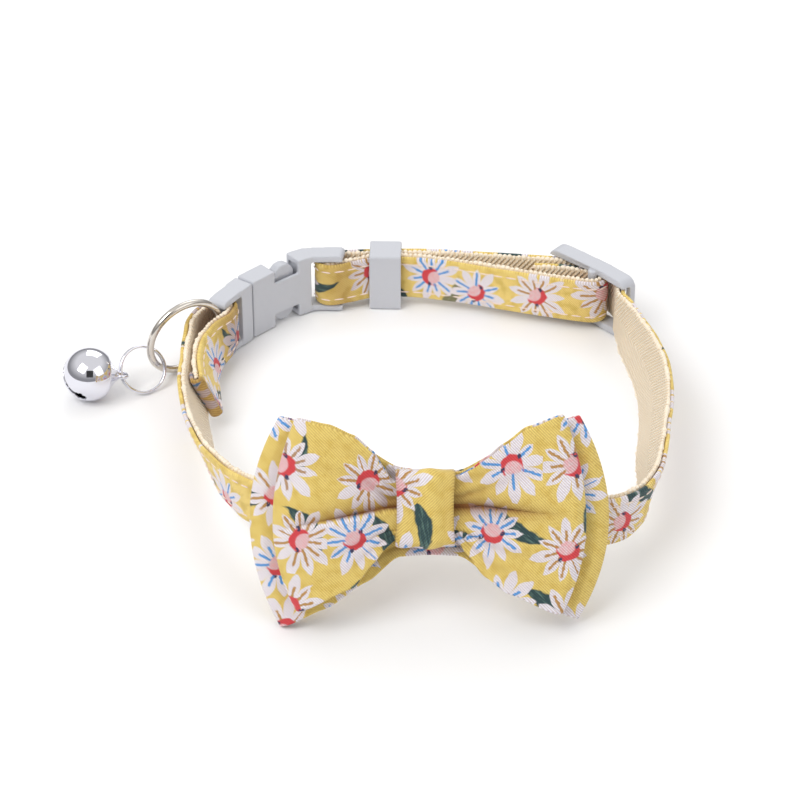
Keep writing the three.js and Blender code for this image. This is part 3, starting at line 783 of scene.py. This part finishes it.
def makeBand(band, around=210, columns=121):
    grid, flat, fold = [], [], []
    for i in range(around):
        angle = 2 * math.pi * i / around
        sweep = math.cos(angle)
        shape = math.copysign(abs(sweep) ** 0.8, sweep)
        out = abs(shape) * band["corner"]
        hand = "right" if shape > 0 else "left"
        top = between(band[hand + "Top"], out)
        low = between(band[hand + "Bottom"], out)
        puff = between(band["puff"], out)
        face = 1 if math.sin(angle) >= 0 else -1
        flatness = min(1.0, abs(math.sin(angle)) * 2.6)
        gather = math.exp(-max(out - 7.0, 0.0) / 8.0)  # how strongly the knot's gathers show here
        row, mapRow, shadeRow = [], [], []
        for j in range(columns):
            rise = 2 * j / (columns - 1) - 1
            up = top * rise if rise > 0 else -low * rise
            end = band["corner"] + band["belly"] * (1 - rise * rise)
            x = shape * end
            valleyShade = overlap = 0.0
            if hand == "left":  # the lower half laps over the upper one
                away = up - (2.5 - 0.215 * max(out - 6.6, 0.0))
                lapped = band["overlap"] * smooth((27 - out) / 16)
                edge = 0.5 + 0.5 * math.tanh(away / 0.16)
                raised = (1 - edge) * 0.55 * math.exp(min(away, 0) / 5.0)
                sunk = edge * 0.75 * math.exp(-max(away, 0) / 3.2)
                overlap = lapped * (raised - sunk)
                valleyShade = lapped * edge * math.exp(-max(away, 0) / 1.6) / 1.5
            else:  # a slit between two round halves
                away = up - (3.0 - 0.1 * max(out - 9.0, 0.0))
                opened = band["slit"] * smooth((25 - out) / 17)
                overlap = -opened * math.exp(-abs(away) / (0.7 if away < 0 else 1.5))
                valleyShade = opened * math.exp(-abs(away) / 1.0) / 2.1
            creased = 0.0
            for place, depth in creases:
                creased += depth * gather * math.exp(-(((rise - place) / 0.08) ** 2))
            soft = 0.5 * noise.noise(Vector((x * 0.07, up * 0.09, band["seed"])))
            n = face * puff * flatness
            if face > 0:
                n += (0.9 * (1 - rise ** 2) * smooth((out - 6) / 10) + soft) * flatness
                n += (overlap - creased) * flatness
                n = max(n, -puff * 0.6 * flatness)
            point = Vector((x, up, n + band["level"]))
            row.append(bowCentre + bowTurn @ point)
            # painted shade: dark along the lap and the slit, in the creases and a little near the knot; the back face
            # gets a little near the knot
            shade = clamp(1.25 * valleyShade + 0.6 * creased + 0.1 * gather, 0, 0.92)
            shadeRow.append(shade if face > 0 else 0.2 * gather)
            mapRow.append((x if face > 0 else math.copysign(2 * end, shape) - x, up))  # runs on round the fold
        grid.append(row)
        fold.append(shadeRow)
        flat.append(mapRow)
    return grid, flat, fold


def makeBow(name, band, material, node, cut):
    grid, flat, fold = makeBand(band)
    piece = clothShell(name, grid, flat, bow["thickness"], True, material, fold, wound=False)
    finishPiece(piece, "printed_cotton", node)
    area = sum(face.area for face in piece.data.polygons) / 2
    print(name, "cloth area cm2", round(area * 1e4, 1), "cut cm2", round(cut[0] * cut[1] * 1e4, 1))
    return piece


makeBow("back-bow", backBand, bowCotton, "bow_back", (0.138, 0.037))
makeBow("front-bow", frontBand, frontCotton, "bow_front", (0.119, 0.034))


# A band of cloth wrapped round the bow's middle; the loop behind is the same shape in elastic
def makeWrap(name, wrap, material):
    half, depth, corner = wrap["height"] / 2, wrap["depth"] / 2, wrap["corner"]
    path = []
    for signX, signY, start in ((1, 1, 0), (-1, 1, 90), (-1, -1, 180), (1, -1, 270)):
        cx, cy = signX * (half - corner), signY * (depth - corner)
        for k in range(9):
            angle = math.radians(start + 90 * k / 8)
            path.append(Vector((cx + corner * math.cos(angle), cy + corner * math.sin(angle), 0)))
    dense = []
    for k in range(len(path)):
        a, b = path[k], path[(k + 1) % len(path)]
        steps = max(1, round((b - a).length / 0.5))
        dense += [a.lerp(b, s / steps) for s in range(steps)]
    grid, flat, fold = [], [], []
    travelled = 0.0
    for k, spot in enumerate(dense):
        following = dense[(k + 1) % len(dense)]
        before = dense[k - 1]
        tangent = (following - before).normalized()
        outward = Vector((tangent.y, -tangent.x, 0))
        front = smooth((spot.y + depth) / (2 * depth))
        row, mapRow, shadeRow = [], [], []
        for j in range(25):
            across = j / 24 - 0.5
            waist = 1 - wrap["waist"] * (1 - (spot.x / half) ** 2)
            phase = across * fullTurn * wrap["pleats"] + 0.6 + 0.25 * math.sin(spot.x * 0.5)
            lift = wrap["pleat"] * math.sin(phase) * front
            lift += wrap["crown"] * (1 - (2 * across) ** 2) * front
            flatPoint = spot + outward * (lift - wrap["thickness"] / 2)
            width = wrap["width"] * waist
            point = Vector((wrap["x"] + across * width, wrap["up"] + flatPoint.x, wrap["level"] + flatPoint.y))
            row.append(bowCentre + bowTurn @ point)
            mapRow.append((travelled, across * width))
            # painted shade, deeper in the hollows between pleats and towards the band's two edges
            shadeRow.append(clamp(0.12 - lift * 0.25) + 0.15 * abs(across * 2) ** 6)
        travelled += (following - spot).length
        grid.append(row)
        flat.append(mapRow)
        fold.append(shadeRow)
    return clothShell(name, grid, flat, wrap["thickness"], True, material, fold)


knotWrap = {"x": -0.8, "up": 2.8, "level": 4.75, "width": 10.6, "height": 14.5, "depth": 5.6, "corner": 1.9,
            "thickness": 0.85, "waist": 0.06, "pleat": 0.22, "pleats": 2.0, "crown": 0.5}
loopWrap = {"x": 0.0, "up": 0.2, "level": -3.95, "width": 8.0, "height": 12.8, "depth": 4.5, "corner": 1.4,
            "thickness": 0.7, "waist": 0.0, "pleat": 0.0, "pleats": 1.0, "crown": 0.0}
knot = makeWrap("bow-knot", knotWrap, knotCotton)
finishPiece(knot, "printed_cotton", "bow_knot")
loop = makeWrap("bow-loop", loopWrap, elasticBand)
finishPiece(loop, "elastic", "bow_loop")
print("bow made")


# Plastic pieces: the CAD shapes with moulded, softened edges; sizes in millimetres
plastic = {"voxel": 0.16, "softenRounds": 14, "softenShare": 0.5}


def makeMoulded(name, node):
    source = bpy.data.objects[node]
    mesh = source.data.copy()
    piece = addObject(name, mesh)
    shape = bmesh.new()
    shape.from_mesh(mesh)
    bmesh.ops.remove_doubles(shape, verts=shape.verts, dist=1e-7)
    shape.to_mesh(mesh)
    shape.free()
    remesh = piece.modifiers.new("skin", "REMESH")
    remesh.mode = "VOXEL"
    remesh.voxel_size = plastic["voxel"] * mm
    remesh.use_smooth_shade = True
    soften = piece.modifiers.new("soften", "SMOOTH")
    soften.iterations = plastic["softenRounds"]
    soften.factor = plastic["softenShare"]
    made = settleModifiers(piece)
    made.materials.clear()
    made.materials.append(lightPlastic)
    made.polygons.foreach_set("use_smooth", [True] * len(made.polygons))
    print(name, "faces", len(made.polygons))
    return finishPiece(piece, "plastic", node)


for label, node in (
    ("buckle-prong-half", "buckle_prong"), ("buckle-socket-half", "buckle_socket"),
    ("strap-keeper", "keeper"), ("strap-slider", "slider"),
):
    makeMoulded(label, node)
print("plastic moulded")


def planeAxes(azimuth, tilt):
    turn, lean = math.radians(azimuth), math.radians(tilt)
    along = Vector((math.cos(turn), math.sin(turn), 0))
    up = Vector((-math.sin(turn) * math.sin(lean), math.cos(turn) * math.sin(lean), math.cos(lean)))
    return along, up


def ringPoints(centre, first, second, radius, count):
    angles = [fullTurn * i / count for i in range(count)]
    return [centre + (first * math.cos(a) + second * math.sin(a)) * radius for a in angles]


def wireTube(name, points, radius, material, closed, sides=16):
    count = len(points)
    vertices, faces = [], []
    normal = None
    for i, point in enumerate(points):
        after = points[(i + 1) % count] if closed or i < count - 1 else point
        before = points[i - 1] if closed or i > 0 else point
        tangent = (after - before).normalized()
        if normal is None:
            normal = tangent.orthogonal().normalized()
        normal = (normal - tangent * normal.dot(tangent)).normalized()
        other = tangent.cross(normal)
        for k in range(sides):
            angle = 2 * math.pi * k / sides
            vertices.append((point + normal * radius * math.cos(angle) + other * radius * math.sin(angle)) * mm)
    shift = 0
    if closed:
        target = vertices[0] / mm - points[0]
        last = count - 1
        shift = min(range(sides), key=lambda k: (vertices[last * sides + k] / mm - points[last] - target).length)
    for i in range(count if closed else count - 1):
        following = (i + 1) % count
        slide = shift if closed and following == 0 else 0
        for k in range(sides):
            faces.append((i * sides + (k + slide) % sides, i * sides + (k + 1 + slide) % sides,
                          following * sides + (k + 1) % sides, following * sides + k))
    if not closed:
        faces.append(tuple(range(sides)))
        faces.append(tuple((count - 1) * sides + k for k in range(sides)))
    piece = addPiece(name, vertices, faces, material)
    fixNormals(piece)
    return piece


tagRing = {"centre": (-51.6, 27.6, 9.4), "radius": 8.6, "wire": 0.8, "azimuth": 214, "tilt": 8}
splitRing = {"centre": (-60.5, 21.9, 4.6), "radius": 4.9, "wire": 0.32, "azimuth": 25, "tilt": 34,
             "turns": 1.9, "apart": 0.34, "startAngle": -50}


def makeTagRing():
    along, up = planeAxes(tagRing["azimuth"], tagRing["tilt"])
    centre = Vector(tagRing["centre"]) + loopShift
    points = ringPoints(centre, along, up, tagRing["radius"], 160)
    finishPiece(wireTube("tag-ring-wire", points, tagRing["wire"], nickelPlate, True, 24), "nickel", "tag_ring")


def makeSplitRing():
    along, up = planeAxes(splitRing["azimuth"], splitRing["tilt"])
    axis = along.cross(up)
    centre = Vector(splitRing["centre"]) + loopShift
    points = []
    count = 260
    for i in range(count):
        share = i / (count - 1)
        angle = math.radians(splitRing["startAngle"]) + fullTurn * splitRing["turns"] * share
        offset = splitRing["apart"] * math.tanh((share - 0.5) * 9)
        out = along * math.cos(angle) + up * math.sin(angle)
        points.append(centre + out * (splitRing["radius"] + 0.03 * offset) + axis * offset)
    piece = wireTube("split-ring-wire", points, splitRing["wire"], chromePlate, False, 14)
    finishPiece(piece, "bell_chrome", "split_ring")


makeTagRing()
makeSplitRing()

bell = {"centre": (-71.4, 18.1, 5.9), "radius": 5.75, "wall": 0.35, "axis": (0.945, 0.25, -0.2),
        "slot": 0.9, "hole": 1.25, "slotEnd": 2.415, "slotWay": (0.08, -0.80, -0.59),
        "neckFrom": 3.6, "neckTop": 7.1, "neckRadius": 0.6, "eyeAt": 6.9, "eyeRadius": 1.15, "eyeWire": 0.4}


def makeBell():
    profile = []
    for i in range(49):
        angle = math.pi * i / 48
        if -bell["radius"] * math.cos(angle) < bell["neckFrom"]:
            profile.append((bell["radius"] * math.sin(angle), -bell["radius"] * math.cos(angle)))
    shoulder = profile[-1]
    for i in range(1, 15):  # the top draws up into a tapered shank
        share = i / 14
        r = bell["neckRadius"] + (shoulder[0] - bell["neckRadius"]) * (1 - share) ** 1.7
        profile.append((r, shoulder[1] + (bell["neckTop"] - shoulder[1]) * share))
    profile.append((0.0, bell["neckTop"] + 0.1))
    centre = Vector(bell["centre"]) + loopShift
    axis = Vector(bell["axis"]).normalized()
    slotWay = Vector(bell["slotWay"])
    slotWay = (slotWay - axis * slotWay.dot(axis)).normalized()
    turn = Matrix((slotWay, axis, slotWay.cross(axis))).transposed()
    shape = bmesh.new()
    segments = 96
    rings = []
    for r, h in profile:
        if r < 1e-6:
            rings.append([shape.verts.new((0, h, 0))])
            continue
        angles = [fullTurn * k / segments for k in range(segments)]
        rings.append([shape.verts.new((r * math.cos(a), h, r * math.sin(a))) for a in angles])
    for low, high in zip(rings, rings[1:]):
        for k in range(segments):
            n = (k + 1) % segments
            if len(low) == 1:
                shape.faces.new((low[0], high[k], high[n]))
            elif len(high) == 1:
                shape.faces.new((low[k], high[0], low[n]))
            else:
                shape.faces.new((low[k], high[k], high[n], low[n]))
    # the slot across the far end with a round hole at each end of it
    gone = []
    for face in shape.faces:
        spot = face.calc_center_median()
        inSlot = spot.y < -bell["slotEnd"] and abs(spot.z) < bell["slot"] / 2
        inHole = (spot.y + bell["slotEnd"]) ** 2 + spot.z ** 2 < bell["hole"] ** 2
        if inSlot or inHole:
            gone.append(face)
    bmesh.ops.delete(shape, geom=gone, context="FACES")
    bmesh.ops.recalc_face_normals(shape, faces=shape.faces)
    mesh = bpy.data.meshes.new("bell-shell")
    shape.to_mesh(mesh)
    shape.free()
    for vertex in mesh.vertices:
        vertex.co = (centre + turn @ vertex.co) * mm
    mesh.materials.append(chromePlate)
    mesh.polygons.foreach_set("use_smooth", [True] * len(mesh.polygons))
    piece = addObject("bell-shell", mesh)
    wall = piece.modifiers.new("wall", "SOLIDIFY")
    wall.thickness = bell["wall"] * mm
    wall.offset = -1
    wall.use_even_offset = False
    settleModifiers(piece)
    finishPiece(piece, "bell_chrome", "bell")
    up = Vector((0, 1, 0)).rotation_difference(axis) @ Vector((1, 0, 0))
    eyeCentre = centre + axis * bell["eyeAt"]
    points = ringPoints(eyeCentre, axis, up, bell["eyeRadius"], 48)
    finishPiece(wireTube("bell-eye", points, bell["eyeWire"], chromePlate, True, 14), "bell_chrome")


makeBell()
print("rings and bell made")


# Floor and lights, and a dark card behind the camera for the chrome to mirror
studio = {"floor": (0.94, 0.94, 0.945), "world": 0.86, "key": 5.0, "fill": 1.4, "back": 2.0, "card": 0.36}


def addPlane(name, size, place, turn, colour, roughness):
    bpy.ops.mesh.primitive_plane_add(size=size, location=place)
    plane = bpy.context.object
    plane.name = name
    plane.rotation_euler = turn
    material, _, shader = newMaterial(name)
    shader.inputs["Base Color"].default_value = (*colour, 1)
    shader.inputs["Roughness"].default_value = roughness
    plane.data.materials.append(material)


def makeStudio():
    addPlane("floor", 6.0, (0, 0, -0.00002), (0, 0, 0), studio["floor"], 0.9)
    world = bpy.data.worlds.new("soft light")
    bpy.context.scene.world = world
    world.use_nodes = True
    make = NodeMaker(world.node_tree)
    height = make.split(make.add("ShaderNodeTexCoord").outputs["Generated"])[2]
    sky = make.mix(make.step(height, 0.42, 0.5), (0.36, 0.36, 0.37, 1), (1, 0.995, 0.985, 1))
    make.join(sky, world.node_tree.nodes["Background"].inputs["Color"])
    world.node_tree.nodes["Background"].inputs["Strength"].default_value = studio["world"]
    for label, place, size, power in (
        ("key-light", (-0.5, -0.45, 0.8), 0.6, studio["key"]),
        ("fill-light", (0.7, -0.5, 0.6), 0.7, studio["fill"]),
        ("back-light", (0.1, 0.8, 0.7), 0.7, studio["back"]),
    ):
        data = bpy.data.lights.new(label, "AREA")
        data.size = size
        data.energy = power
        lamp = addObject(label, data)
        lamp.location = place
        lamp.rotation_euler = (Vector((0, 0, 0.01)) - Vector(place)).to_track_quat("-Z", "Y").to_euler()
    eye = bpy.context.scene.camera
    addPlane("dark-card", studio["card"], eye.location * 1.06, eye.rotation_euler, (0.02, 0.02, 0.02), 0.5)
    bpy.context.scene.view_settings.view_transform = "Standard"


makeStudio()
bpy.context.view_layer.update()
